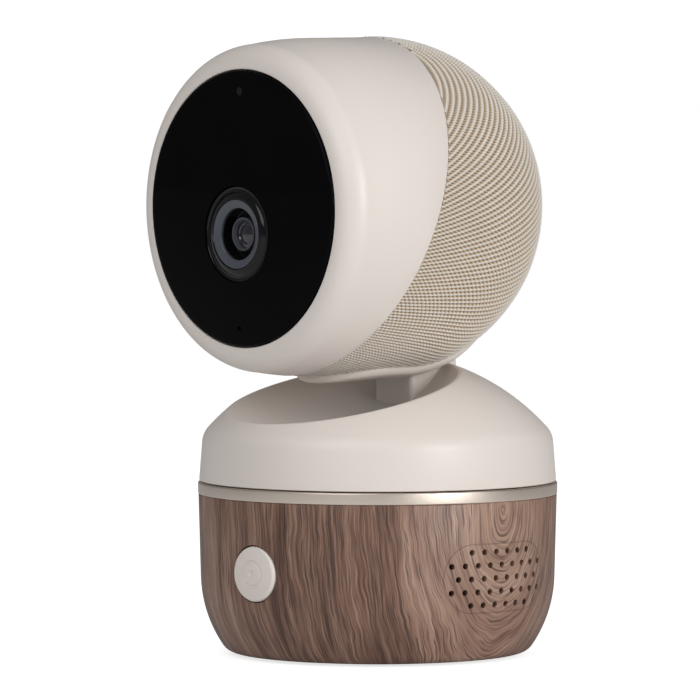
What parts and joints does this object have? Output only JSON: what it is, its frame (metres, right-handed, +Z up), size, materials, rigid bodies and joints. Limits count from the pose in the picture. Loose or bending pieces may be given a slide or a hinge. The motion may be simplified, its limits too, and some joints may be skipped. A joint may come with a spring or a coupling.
{
  "type": "security camera",
  "caption": "Indoor pan and tilt security camera with a round head in a domed neck over a cup-shaped base.",
  "frame": {"origin": "on the pan axis, at the height of the surface that the foot pad rests on", "axes": "+Z is up along the pan axis; the lens looks along -Y at rest; +X is the tilt axis. The base's button, grille and socket are turned 4.8 degrees about +Z, as the head is panned by that much from the middle of its travel"},
  "size_m": [0.088, 0.09, 0.1509],
  "materials": {
    "wood_finish": "satin wood grain wrap",
    "ring_metal": "satin anodised",
    "white_shell": "fine satin",
    "black_glass": "high gloss",
    "lens_black": "gloss",
    "lens_grey": "satin",
    "lens_glass": "coated glass",
    "woven_cover": "open weave",
    "rubber_black": "matte",
    "board_green": "solder mask",
    "dark_plastic": "moulded",
    "gear_plastic": "acetal",
    "steel": "zinc plated",
    "brass": "turned",
    "speaker_fabric": "acoustic mesh"
  },
  "bodies": {
    "base": {"base_shell": "wood_finish", "trim_ring": "ring_metal", "base_plate": "dark_plastic", "foot_pad": "rubber_black", "base_screws": "steel", "ballast": "steel", "board_posts": "brass", "main_board": "board_green", "board_screws": "steel", "processor_shield": "steel", "usb_socket": "steel", "button_switch": "dark_plastic", "button_board": "board_green", "speaker_frame": "dark_plastic", "speaker_cone": "dark_plastic", "speaker_magnet": "steel", "speaker_gasket": "rubber_black", "grille_mesh": "speaker_fabric", "deck": "dark_plastic", "deck_screws": "steel", "slide_ring": "gear_plastic", "pan_motor": "steel"},
    "button": {"button_cap": "white_shell"},
    "pan_pinion": {"pan_pinion": "gear_plastic"},
    "turret": {"dome_shell": "white_shell", "turntable": "dark_plastic", "pan_gear": "gear_plastic", "turntable_screws": "steel", "stem_shell": "white_shell", "tilt_arm": "dark_plastic", "tilt_axle": "steel", "tilt_gear": "gear_plastic", "axle_clips": "steel", "axle_spacers": "brass", "pan_retainer": "steel"},
    "head": {"front_shell": "white_shell", "rear_shell": "dark_plastic", "fabric_cover": "woven_cover", "slot_trim": "white_shell", "front_glass": "black_glass", "lens_surround": "lens_black", "lens_cone": "lens_grey", "lens_barrel": "lens_grey", "lens_front_element": "lens_glass", "lens_holder": "dark_plastic", "image_sensor": "lens_black", "sensor_board": "board_green", "led_board": "board_green", "infrared_leds": "lens_black", "status_light": "lens_black", "microphone": "steel", "chassis": "dark_plastic", "chassis_screws": "steel", "tilt_bushes": "brass", "tilt_motor": "steel", "head_board": "board_green", "head_shield": "steel", "antenna": "board_green"},
    "tilt_pinion": {"tilt_pinion": "gear_plastic"}
  },
  "joints": [
    {"name": "pan", "type": "hinge", "parent": "base", "child": "turret", "pos_m": [0, 0, 0], "axis": [0, 0, 1], "range_deg": [-170, 170]},
    {"name": "tilt", "type": "hinge", "parent": "turret", "child": "head", "pos_m": [0, -0.0016, 0.1097], "axis": [1, 0, 0], "range_deg": [-38, 22]},
    {"name": "button_press", "type": "slide", "parent": "base", "child": "button", "axis": [-0.0837, 0.9965, 0], "range_m": [0, 0.0006], "stiffness_N_per_m": 1500, "springref_m": -0.0003},
    {"name": "pan_pinion_turn", "type": "hinge", "parent": "base", "child": "pan_pinion", "pos_m": [-0.02551, -0.00214, 0.0402], "axis": [0, 0, 1], "range_deg": [-520, 520]},
    {"name": "tilt_pinion_turn", "type": "hinge", "parent": "head", "child": "tilt_pinion", "pos_m": [0, -0.0016, 0.1241], "axis": [1, 0, 0], "range_deg": [-125, 80]}
  ],
  "couplings": [
    {"joint": "pan_pinion_turn", "follows": "pan", "ratio": -3},
    {"joint": "tilt_pinion_turn", "follows": "tilt", "ratio": 3}
  ]
}
